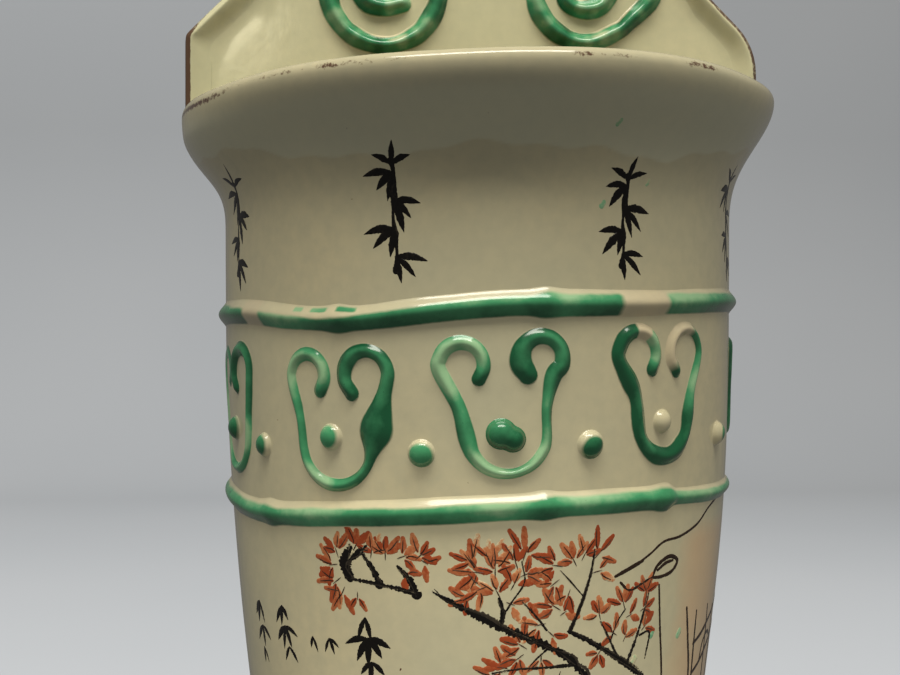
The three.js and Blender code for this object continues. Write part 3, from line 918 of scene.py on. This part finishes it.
# ---- painted decoration: strokes given as (angle in degrees, height in mm) points on the wall ----
rng = np.random.default_rng(7)


class Painting:
    """Many brush strokes of one paint, gathered into one object."""

    def __init__(self, rise=0.05 * MM):
        self.rise = rise
        self.points, self.faces, self.load, self.count = [], [], [], 0

    def stroke(self, marks, width, load=0.8, press=(0.35, 1.0, 0.25), dry=0.15, rough=0.07):
        """One stroke; press is its width at the start, middle and end, dry how much its load falls off and
        rough how uneven its edge is."""
        radius = float(wall_radius(marks[0][1] * MM))
        flat = [(math.radians(angle) * radius, z * MM) for angle, z in marks]
        path = smooth_path(flat, 0.28 * MM)
        t = np.linspace(0, 1, len(path))
        ragged = 1 + rough * rng.standard_normal(len(path))
        start, middle, end = press
        swell = np.where(t < 0.45, start + (middle - start) * np.sin(np.pi / 2 * t / 0.45),
                         end + (middle - end) * np.cos(np.pi / 2 * (t - 0.45) / 0.55))
        half_width = 0.5 * width * MM * swell * ragged
        half_width = np.maximum(half_width, 0.05 * MM)

        def place(across, z, out):
            return on_wall(across / radius, z, out)

        points, faces, s, along, _ = sweep(path, half_width, self.rise + 0 * t, place, stroke_height, 1.0, 7)
        self.faces += [tuple(i + self.count for i in face) for face in faces]
        self.count += len(points)
        self.points.append(points)
        self.load.append(load - dry * along - 0.22 * s**2 + 0.05 * rng.standard_normal())

    def finish(self, name, material):
        load = np.concatenate(self.load)
        make_object(name, np.vstack(self.points), self.faces, material, {"load": load})


def leaf_cluster(ink, angle, z, turns, size, pick):
    """Pointed leaf strokes fanned out from one twig end; turns are their directions, in degrees."""
    for turn in turns:
        direction = math.radians(turn + pick.uniform(-7, 7))
        length = size * pick.uniform(0.8, 1.15)
        foot = np.array([angle, z])
        tip = foot + length * np.array([math.cos(direction), math.sin(direction)])
        middle = (foot + tip) / 2 + np.array([0, 0.07 * length])
        ink.stroke([foot, middle, tip], pick.uniform(0.21, 0.29) * size, 0.95, (0.3, 1.15, 0.12), 0.15)


def bamboo_sprig(ink, angle, top, height, lean, clusters, seed):
    """A generic ink bamboo sprig: a jointed stem with clusters of drooping leaves to either side."""
    pick = np.random.default_rng(seed)
    joints = 3
    for i in range(joints):
        low = i / joints
        high = (i + 0.93) / joints
        bow = 0.3 * (-1) ** i
        marks = [(angle + lean * down + aside, top - height * down)
                 for down, aside in ((low, 0), ((low + high) / 2, bow), (high, 0))]
        ink.stroke(marks, 1.3, 0.9, (1.3, 0.55, 1.3), 0.1)
    leaf_cluster(ink, angle, top - 0.5, (75, 20, 150), 4.4, pick)
    for i in range(clusters):
        down = (i + 0.4) / clusters
        side = 1 if i % 2 else -1
        turns = [(90 - side * 90) + side * fall for fall in (-8, -42, -76)]
        leaf_cluster(ink, angle + lean * down, top - height * down, turns, 5.6, pick)


# Where the four sprigs hang: angle, top, height, lean and number of leaf clusters.
NECK_SPRIGS = [
    (-66.5, 158.6, 18.5, -1.2, 4), (-22.2, 159.6, 20.5, 0.6, 4),
    (24, 157.4, 17, -1.2, 4), (61.5, 160, 19, 2.6, 4),
]


def neck_sprigs():
    """Four ink bamboo sprigs round the neck."""
    ink = Painting()
    for number, (angle, top, height, lean, clusters) in enumerate(NECK_SPRIGS):
        bamboo_sprig(ink, angle, top, height, lean, clusters, 100 + number)
    ink.finish("painted_neck_sprigs", INK)


def leaf_spray(red, veins, angle, z, toward, leaves, size, spread=170):
    """A fan of separate pointed leaf strokes round a point; toward is its middle direction in degrees."""
    for i in range(leaves):
        turn = math.radians(toward + spread * ((i + 0.5) / leaves - 0.5) + rng.uniform(-12, 12))
        length = size * rng.uniform(0.65, 1.0)
        start = 0.28 * size * rng.uniform(0.6, 1.3)
        direction = np.array([math.cos(turn), math.sin(turn)])
        foot = np.array([angle, z]) + start * direction
        tip = foot + length * direction
        middle = (foot + tip) / 2 + rng.uniform(-0.25, 0.25) * direction[::-1]
        red.stroke([foot, middle, tip], rng.uniform(1.25, 1.75), rng.uniform(0.45, 1.0), (0.4, 1.1, 0.7),
                   rng.uniform(-0.1, 0.35))
        if rng.uniform() < 0.8:
            aside = rng.uniform(-0.35, 0.35) * np.array([-direction[1], direction[0]])
            veins.stroke([foot, (middle + foot) / 2 + aside, 0.3 * middle + 0.7 * tip + aside], 0.42,
                         rng.uniform(0.6, 1.0), (0.8, 1.0, 0.5))


# Boughs and twigs: points, width in millimetres, and width at the start, middle and end.
BOUGHS = [
    ([(-33.5, 82.2), (-28, 81.8), (-22, 81), (-18, 80.2)], 1.1, (0.5, 0.9, 1.5)),
    ([(-14.8, 80.6), (-11, 78.8), (-5, 75.9), (0, 73.7), (5, 71.7)], 2.3, (0.15, 0.9, 1.1)),
    ([(4.5, 71.9), (9, 70), (13.5, 67.4), (16.5, 64.5), (20, 61), (25, 56.5)], 2.4, (0.9, 0.8, 1.2)),
    ([(24, 57.5), (30, 52), (35, 45), (38.5, 36), (40.5, 25), (42, 13)], 3.6, (0.8, 1.0, 1.3)),
    ([(12.5, 72.9), (17.5, 70.6), (22.5, 68), (27, 65.3), (32, 62.2), (35, 58)], 1.7, (0.4, 1.0, 1.1)),
    ([(35, 58.5), (38, 52), (39, 44), (39, 36)], 2.0, (0.8, 1.0, 1.1)),
    ([(-32.6, 82.3), (-33.6, 85), (-32.2, 88)], 3.0, (0.8, 1.1, 0.7)),
    ([(-33.5, 85.2), (-30.5, 87.2), (-28.6, 88.6)], 2.1, (0.9, 0.8, 0.3)),
    ([(-26, 81.6), (-27.2, 84.2), (-29.5, 87)], 2.0, (1.2, 0.8, 0.4)),
    ([(-18.2, 80.2), (-19.6, 82.8), (-22, 85.2)], 1.9, (1.3, 0.9, 0.4)),
    ([(-1.4, 74.6), (-1, 77), (-1.8, 79.6)], 1.4, (1.1, 0.8, 0.5)),
    ([(-1.2, 76), (0.8, 79), (3.2, 82.6), (2.6, 86.4)], 0.6, (1.1, 0.8, 0.5)),
    ([(8, 73.4), (5.6, 76.2), (2.8, 79)], 0.6, (0.8, 1.0, 0.5)),
    ([(13, 72.8), (15.4, 78), (17.2, 83.8), (17.8, 88)], 1.0, (1.2, 0.8, 0.5)),
    ([(16, 79), (13, 82), (10.5, 84.5)], 0.4, (1.0, 0.8, 0.5)),
    ([(24.6, 67), (22.4, 70.5), (20, 74.2)], 0.8, (1.1, 0.8, 0.4)),
    ([(22.6, 70), (24, 73.5), (26, 76)], 0.6, (1.0, 0.8, 0.5)),
    ([(27.4, 65.4), (29.6, 70), (31, 74), (32.4, 78.5)], 1.0, (1.2, 0.8, 0.4)),
    ([(30.4, 70.4), (33.4, 70.6), (32.6, 65.6)], 0.7, (0.9, 1.0, 0.6)),
    ([(14, 66.4), (8, 66.3), (2, 66.2), (-3, 65.6)], 0.9, (1.2, 0.8, 0.4)),
    ([(8.5, 70), (6, 68), (4.4, 66.4)], 0.6, (1.1, 0.8, 0.5)),
    ([(25, 56.5), (17, 58), (8, 57), (1, 58.5)], 1.3, (1.2, 0.8, 0.4)),
    ([(12, 57.4), (7, 53.5), (2, 51.5)], 0.8, (1.1, 0.8, 0.4)),
    ([(35, 45.5), (27, 47.5), (19, 46), (13, 47.5)], 1.3, (1.2, 0.8, 0.4)),
    ([(23, 46.8), (19, 42.5), (15, 40.5)], 0.8, (1.1, 0.8, 0.4)),
    ([(39.5, 31), (33, 33.5), (27, 32.5)], 1.2, (1.2, 0.8, 0.4)),
]
# Sprays of leaves: where, which way they fan, how many, and how long each leaf is.
SPRAYS = [
    (-35.5, 87, 110, 4, 3.6), (-31, 88.4, 60, 4, 3.3), (-27.5, 87.4, 80, 4, 3.3), (-36.5, 84.5, 190, 4, 3.6),
    (-35.8, 81.5, 215, 4, 4.0), (-34.5, 79.5, 240, 3, 3.8), (-31, 79, 270, 2, 2.6), (-24.5, 87.2, 90, 5, 3.4),
    (-21, 87, 20, 4, 3.5), (-17.5, 87.2, 40, 4, 3.2), (-20.5, 84, -50, 2, 3.0), (-16.5, 86.2, -30, 2, 2.8),
    (-7, 86.4, 130, 4, 4.0), (-6, 84.5, 175, 5, 4.2), (-3.2, 86.8, 80, 4, 3.8), (-2.6, 84.5, 90, 5, 4.0),
    (-5.2, 81.5, 200, 4, 4.0), (-2, 80.5, 120, 4, 3.8), (-8, 79.8, 200, 3, 3.6), (1.5, 86, 110, 4, 3.8),
    (3.2, 87.6, 70, 4, 4.2), (3.4, 84, 20, 3, 3.4), (1, 82, 60, 3, 3.4), (0.5, 78.6, -20, 2, 3.0),
    (9.8, 85.4, 170, 4, 3.8), (9.4, 82.2, 215, 4, 3.8), (13.4, 86, 120, 4, 3.4), (15.5, 87, 60, 3, 3.4),
    (18.4, 86.8, 40, 3, 4.2), (18.6, 83.8, 10, 2, 3.8), (12.4, 80, 250, 2, 3.0), (9.8, 77.6, 150, 4, 3.8),
    (11.4, 76.4, 30, 2, 2.6), (6.6, 74.5, 190, 4, 3.9), (9, 72.6, 320, 2, 3.0), (3, 70.6, 150, 4, 3.8),
    (2.4, 68.4, 215, 4, 3.8), (7, 68, 270, 3, 3.2), (-1, 66.6, 170, 4, 3.8), (-3, 65, 215, 3, 3.4),
    (11, 64.5, 250, 3, 3.2), (19.6, 75.4, 110, 4, 3.0), (25.6, 76.8, 110, 4, 3.2), (27.2, 74.6, 20, 2, 2.8),
    (31.6, 78.6, 90, 4, 3.0), (31, 75.4, 20, 3, 2.8), (23.4, 71.6, 150, 3, 3.2), (31.6, 71.8, 40, 3, 2.8),
    (20, 68.2, 230, 3, 3.2), (26.4, 70.4, 60, 2, 2.8), (1, 58.6, 200, 5, 3.8), (6, 57.2, 250, 4, 3.6),
    (2, 51.6, 210, 5, 3.8), (11, 58, 90, 4, 3.4), (18, 58.2, 100, 3, 3.2), (13, 47.6, 190, 5, 3.8),
    (19, 46, 250, 4, 3.6), (15, 40.6, 210, 5, 3.6), (26, 48, 90, 3, 3.2), (27, 32.6, 190, 5, 3.6),
    (32, 34.4, 90, 3, 3.2),
]


def tree():
    """A generic tree: dry-brushed black boughs with sprays of iron-red leaf strokes."""
    ink = Painting(0.06 * MM)
    red = Painting(0.04 * MM)
    veins = Painting(0.075 * MM)
    for marks, width, press in BOUGHS:
        ink.stroke(marks, 0.85 * width, 0.9, press, 0.15, 0.2)
        for _ in range(2):
            shift = rng.uniform(-0.35, 0.35, (len(marks), 2)) * width
            ink.stroke(np.array(marks) + shift, 0.35 * width, 0.6, press, 0.4, 0.35)
    for angle, z, toward, leaves, size in SPRAYS:
        leaf_spray(red, veins, angle, z, toward, leaves, size)
        turn = math.radians(toward)
        veins.stroke([(angle - 0.3 * size * math.cos(turn), z - 0.3 * size * math.sin(turn)), (angle, z),
                      (angle + 0.3 * size * math.cos(turn), z + 0.3 * size * math.sin(turn))], 0.3, 0.7)
    ink.finish("painted_boughs", INK)
    red.finish("painted_leaves", IRON_RED)
    veins.finish("painted_leaf_veins", BROWN_INK)


# A simple pavilion: the lines of its eave, post and lattice, with their widths in millimetres.
PAVILION = [
    ([(66, 95.5), (60, 94.4), (54, 92.8), (48.5, 90.2), (41.5, 88.5), (36, 88), (32, 86), (28, 84.2),
      (23.5, 82.6)], 0.55),
    ([(30, 84.9), (26.5, 83.7), (23, 82.5)], 0.8),
    ([(24.4, 81.2), (26.8, 79.5), (30, 80.4), (33.2, 81.5)], 0.6),
    ([(33, 81.3), (34.6, 83.6), (38.2, 84.9), (41, 83.8), (39.4, 81.9), (36, 81.2), (33, 81.3)], 0.8),
    ([(34.6, 82.6), (37, 83.7), (39.4, 84)], 0.7),
    ([(35.4, 79.6), (36.8, 71), (38.6, 62), (40, 50), (41.5, 36), (42.5, 24)], 0.6),
    ([(46.6, 73.5), (48.5, 67), (50.6, 60), (51.6, 50), (52, 40)], 0.8),
    ([(51.8, 72), (52, 66), (52.6, 59), (53.4, 48), (54, 40)], 0.75),
    ([(59.4, 72), (60.2, 64), (61, 55), (61.6, 44)], 0.85),
    ([(65.5, 71), (66, 62), (66.4, 50), (66.6, 42)], 0.75),
    ([(44.5, 58), (45.6, 50), (46.6, 42), (47, 34)], 0.7),
    ([(51.8, 65.4), (56, 66.6), (61, 68.6), (67, 70.4), (73, 72)], 0.95),
    ([(52.6, 59), (57, 60.6), (62, 63), (68, 65.2), (74, 66.6)], 0.95),
    ([(57, 61), (58.5, 64.6), (62, 66), (66, 64)], 0.8),
    ([(47, 46), (56, 47.2), (66, 48), (75, 48.6)], 0.8),
    ([(43, 26), (54, 25.2), (66, 25), (78, 25.4)], 0.9),
    ([(43.5, 21.5), (55, 20.6), (67, 20.4), (78, 20.8)], 0.6),
]


def pavilion():
    """The pavilion's thin brown lines."""
    lines = Painting()
    for marks, width in PAVILION:
        lines.stroke(marks, 1.25 * width, 0.9, (0.8, 1.0, 0.7), 0.1)
    lines.finish("painted_pavilion", BROWN_INK)


def grass_and_ground():
    """Small leaf clusters at the left of the picture, and grass, rocks and ground strokes along its foot."""
    ink = Painting()
    pick = np.random.default_rng(23)
    for angle, z, turns, size in [
        (-63, 74, (-70, -100, -125), 4.5), (-62.5, 69, (-35, -80, -130), 4.5), (-63, 64.5, (-60, -95), 3.2),
        (-53, 74.5, (-60, -95, -130), 4), (-52.5, 70.5, (-25, -60, -100, -140), 4.6),
        (-51.5, 66.5, (-50, -115), 3.6), (-43.5, 69.8, (-65, -110), 2.8),
        (-38.8, 70, (-30, -75, -120), 3.2), (-29.5, 75, (-70, -110), 4.4),
        (-29, 71, (-20, -50, -90, -130, -165), 5.6), (-28.5, 66.5, (-45, -90, -140), 4.4),
    ]:
        leaf_cluster(ink, angle, z, turns, size, pick)
    tufts = [(-58, 21, 6, 9), (-20, 14, 7, 10), (8, 13, 6, 8), (27, 14, 5, 7), (-38, 33, 5, 7)]
    for angle, z, blades, size in tufts:
        for i in range(blades):
            lean = (i + 0.5) / blades - 0.5 + rng.uniform(-0.06, 0.06)
            tall = size * rng.uniform(0.65, 1.1)
            ink.stroke([(angle + 3 * lean, z), (angle + 6 * lean, z + 0.6 * tall),
                        (angle + 12 * lean, z + tall * (1 - 0.5 * abs(lean)))],
                       rng.uniform(0.8, 1.3), 0.9, (0.7, 0.9, 0.15), 0.3)
    for marks, width in [
        ([(-62, 12), (-61, 24), (-52, 32), (-42, 33), (-33, 25), (-30, 12)], 1.3),
        ([(-54, 13), (-50, 23), (-44, 27)], 0.9),
        ([(-44, 12), (-41, 20), (-36, 23)], 0.8),
        ([(-74, 11), (-55, 9.6), (-30, 10.4), (-5, 9.4), (22, 10.2), (50, 9.4), (76, 10.6)], 0.9),
        ([(-18, 12.5), (-6, 12), (4, 12.4)], 0.6),
        ([(16, 13), (26, 12.2), (38, 12.8)], 0.6),
    ]:
        ink.stroke(marks, width, 0.8, (0.7, 1.0, 0.6), 0.3)
    ink.finish("painted_grass_and_ground", INK)


def green_spots():
    """Stray touches of green on the neck and the picture."""
    green = Painting()
    for angle, z, width, load in [(19.4, 166.5, 1.3, 0.35), (18.6, 152, 1.1, 0.4), (29, 156.5, 0.8, 0.3),
                                  (34.2, 70, 1.2, 0.5), (44, 68.8, 1.6, 0.25), (29.3, 65.6, 1.5, 0.3)]:
        marks = [(angle - 0.3, z - 0.3), (angle, z), (angle + 0.2, z + 0.4)]
        green.stroke(marks, width, load, (1, 1, 1), 0.1)
    green.finish("painted_green_spots", SPOT_GREEN)


# ---- camera, light and floor ----
def camera():
    """Stands close in front of the pot, slightly to its left and a little above its frieze."""
    distance = 281 * MM
    aside = 6 * MM
    eye = 127.4 * MM
    yaw = math.radians(5)
    forward = Vector((math.sin(yaw), math.cos(yaw), 0))
    right = Vector((math.cos(yaw), -math.sin(yaw), 0))
    data = bpy.data.cameras.new("camera")
    data.sensor_width = 36
    data.lens = 49.8
    data.clip_start = 0.01
    made = bpy.data.objects.new("camera", data)
    made.location = Vector((0, AXIS_Y, eye)) - distance * forward - aside * right
    made.rotation_euler = (math.pi / 2, 0, -yaw)
    bpy.context.scene.collection.objects.link(made)
    bpy.context.scene.camera = made


def area_light(name, place, toward, size, power, colour):
    """A rectangular light of the given size and power, aimed at a point."""
    data = bpy.data.lights.new(name, "AREA")
    data.shape = "RECTANGLE"
    data.size, data.size_y = size
    data.energy = power
    data.color = colour
    made = bpy.data.objects.new(name, data)
    made.location = place
    made.rotation_euler = (Vector(toward) - Vector(place)).to_track_quat("-Z", "Y").to_euler()
    made.visible_camera = False
    bpy.context.scene.collection.objects.link(made)
    return made


def lights(floor):
    """A long window high in front of the pot, a wider soft light with it, a low fill, and a small window that
    shows as a highlight on the crest. The floor has a window light of its own. Returns the collection of
    pieces that the small window lights."""
    middle = (0, 0, 0.12)
    window = (-0.03, -0.38, 1.16)
    warm = (1.0, 0.96, 0.87)
    key = area_light("window_above", window, middle, (0.9, 0.3), 9, warm)
    wide = area_light("soft_sky", window, middle, (2.6, 0.3), 12.2, warm)
    low = area_light("low_fill", (-0.05, -0.75, 0.2), (0, -0.03, 0.018), (0.12, 0.06), 0.05, warm)
    low.data.spread = math.radians(21)
    unlit = bpy.data.collections.new("not_lit_by_the_window")
    unlit.objects.link(floor)
    unlit.collection_objects[0].light_linking.link_state = "EXCLUDE"
    for light in (key, wide, low):
        light.light_linking.receiver_collection = unlit
    wide.visible_glossy = False
    low.visible_glossy = False
    field = (-0.05, AXIS_Y, 0.19)  # on the left of the crest
    yellow = (1.0, 0.93, 0.64)
    glint = area_light("small_window", (-0.146, -1.09, 0.470), field, (0.035, 0.065), 0.085, yellow)
    glint.rotation_euler.rotate_axis("Z", math.radians(-45))
    mirrored = bpy.data.collections.new("mirrors_the_small_window")
    glint.light_linking.receiver_collection = mirrored
    floor_light = area_light("window_for_the_floor", window, middle, (1.9, 0.3), 21, (1.0, 0.98, 0.95))
    lit = bpy.data.collections.new("lit_for_the_floor")
    lit.objects.link(floor)
    floor_light.light_linking.receiver_collection = lit
    behind = area_light("behind", (-0.5, 0.9, 0.9), middle, (0.8, 0.6), 2, (0.95, 0.97, 1.0))
    behind.visible_glossy = False
    world = bpy.data.worlds.new("studio")
    world.use_nodes = True
    background = world.node_tree.nodes["Background"]
    background.inputs["Color"].default_value = (1.0, 0.98, 0.93, 1)
    background.inputs["Strength"].default_value = 0.145
    bpy.context.scene.world = world
    bpy.context.scene.view_settings.view_transform = "Standard"
    return mirrored


def studio_floor():
    """A pale floor that curves up into a backdrop far behind the pot."""
    wide = 3.0
    deep = 3.0
    back = 0.75
    bend = 0.35
    tall = 2.2
    turn = np.linspace(0, np.pi / 2, 16)
    curve = [(back + bend * math.sin(a), bend * (1 - math.cos(a))) for a in turn[1:]]
    profile = [(-deep, 0.0), (back, 0.0), *curve, (back + bend, tall)]
    points = [(x, y, z) for y, z in profile for x in (-wide, wide)]
    mesh = bpy.data.meshes.new("studio_floor")
    mesh.from_pydata(points, [], grid_faces(len(profile), 2))
    mesh.polygons.foreach_set("use_smooth", [True] * len(mesh.polygons))
    floor = bpy.data.objects.new("studio_floor", mesh)
    material, tree = new_material("pale_paper")
    colour = mix_colour(tree, noise(tree, 3, 2), (0.52, 0.55, 0.58), (0.60, 0.62, 0.64))
    shader = add_node(tree, "BsdfPrincipled", {"Base Color": colour, "Roughness": 0.9})
    output = add_node(tree, "OutputMaterial")
    tree.links.new(shader.outputs["BSDF"], output.inputs["Surface"])
    mesh.materials.append(material)
    bpy.context.scene.collection.objects.link(floor)
    floor.visible_diffuse = False
    floor.visible_glossy = False
    return floor


camera()
mirrored_pieces = lights(studio_floor())
front_wall()
floor_slab()
back_plate(mirrored_pieces)
for band_name, band_shape in BANDS.items():
    laid_band(band_name, band_shape)
for scroll_number, scroll_shape in enumerate(SCROLLS, 1):
    laid_scroll(scroll_number, scroll_shape)
for spiral_name, spiral_shape in SPIRALS.items():
    laid_spiral(spiral_name, spiral_shape)
laid_border()
for bead_number, bead_shape in enumerate(SCROLL_BEADS, 1):
    bead(f"scroll_bead_{bead_number}", bead_shape)
for bead_number, bead_shape in enumerate(SPACER_BEADS, 1):
    bead(f"spacer_bead_{bead_number}", bead_shape)
neck_sprigs()
tree()
pavilion()
grass_and_ground()
green_spots()
